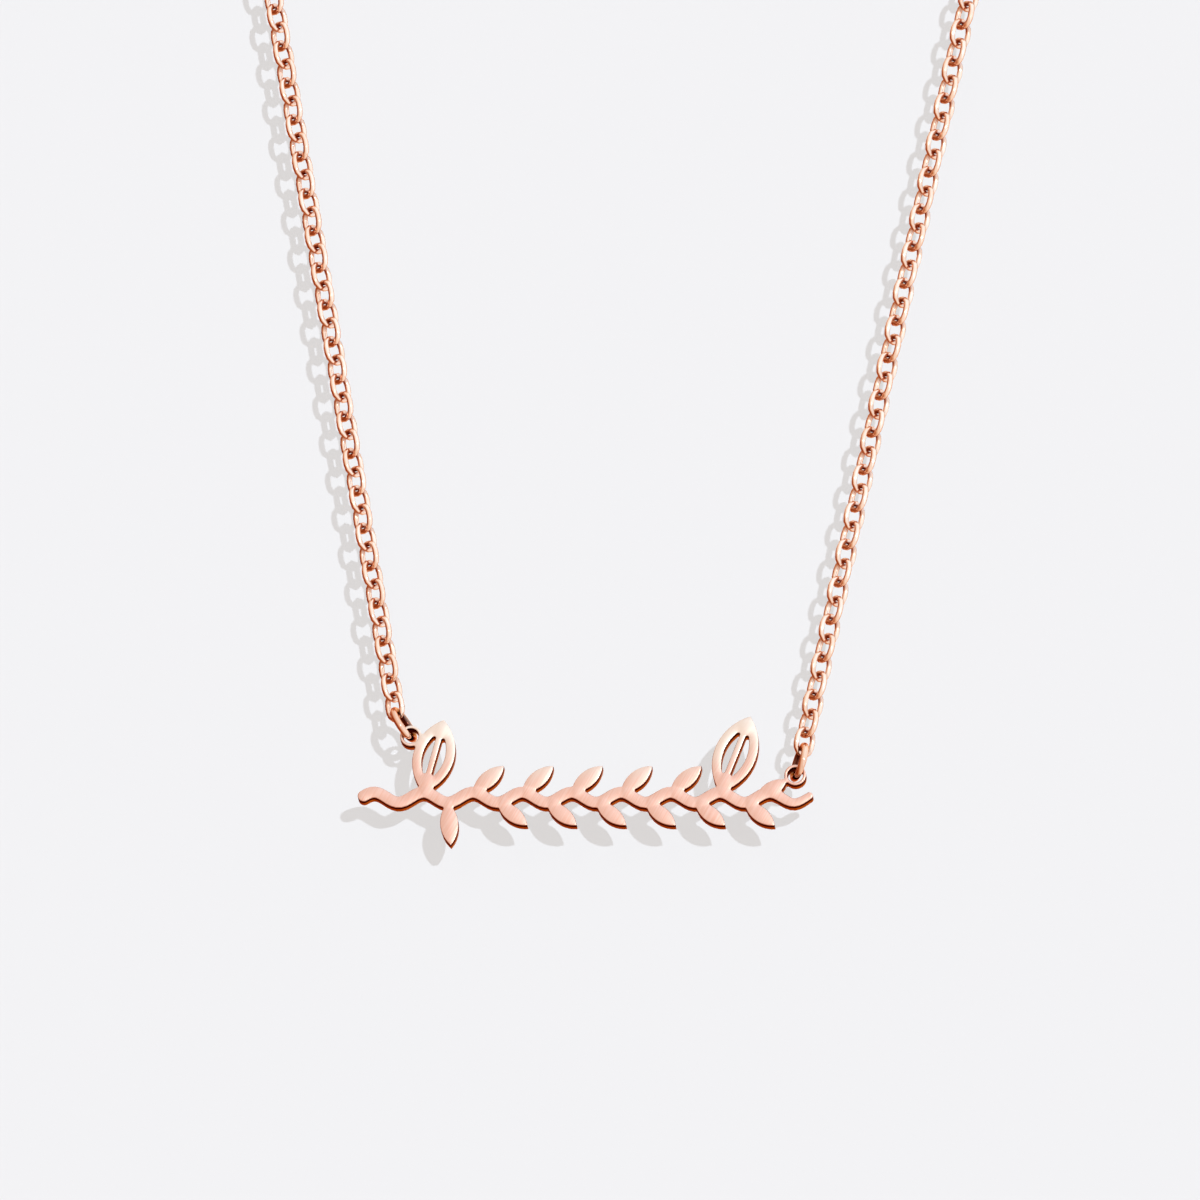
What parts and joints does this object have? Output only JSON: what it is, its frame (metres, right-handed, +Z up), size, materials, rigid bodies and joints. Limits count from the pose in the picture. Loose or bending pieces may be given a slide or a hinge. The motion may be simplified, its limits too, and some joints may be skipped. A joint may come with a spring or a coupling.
{
  "type": "nameplate necklace",
  "caption": "Nameplate necklace as worn: a flat openwork plate with a leafy vine hung by two jump rings between the ends of a fine oval cable chain that closes at the nape.",
  "frame": {"origin": "at the nape, where the neck side of the clasp rests on the back of the neck", "axes": "+X to the right as seen from the front, -Y towards the front, where the plate hangs, +Z up"},
  "size_m": [0.1006, 0.1158, 0.1245],
  "materials": {
    "rose_gold_satin": "satin",
    "rose_gold_polished": "polished"
  },
  "bodies": {
    "root": {"nameplate": "rose_gold_satin", "jump_ring_left": "rose_gold_polished", "jump_ring_right": "rose_gold_polished", "chain_left": "rose_gold_polished", "chain_right": "rose_gold_polished", "clasp": "rose_gold_polished"}
  },
  "joints": []
}
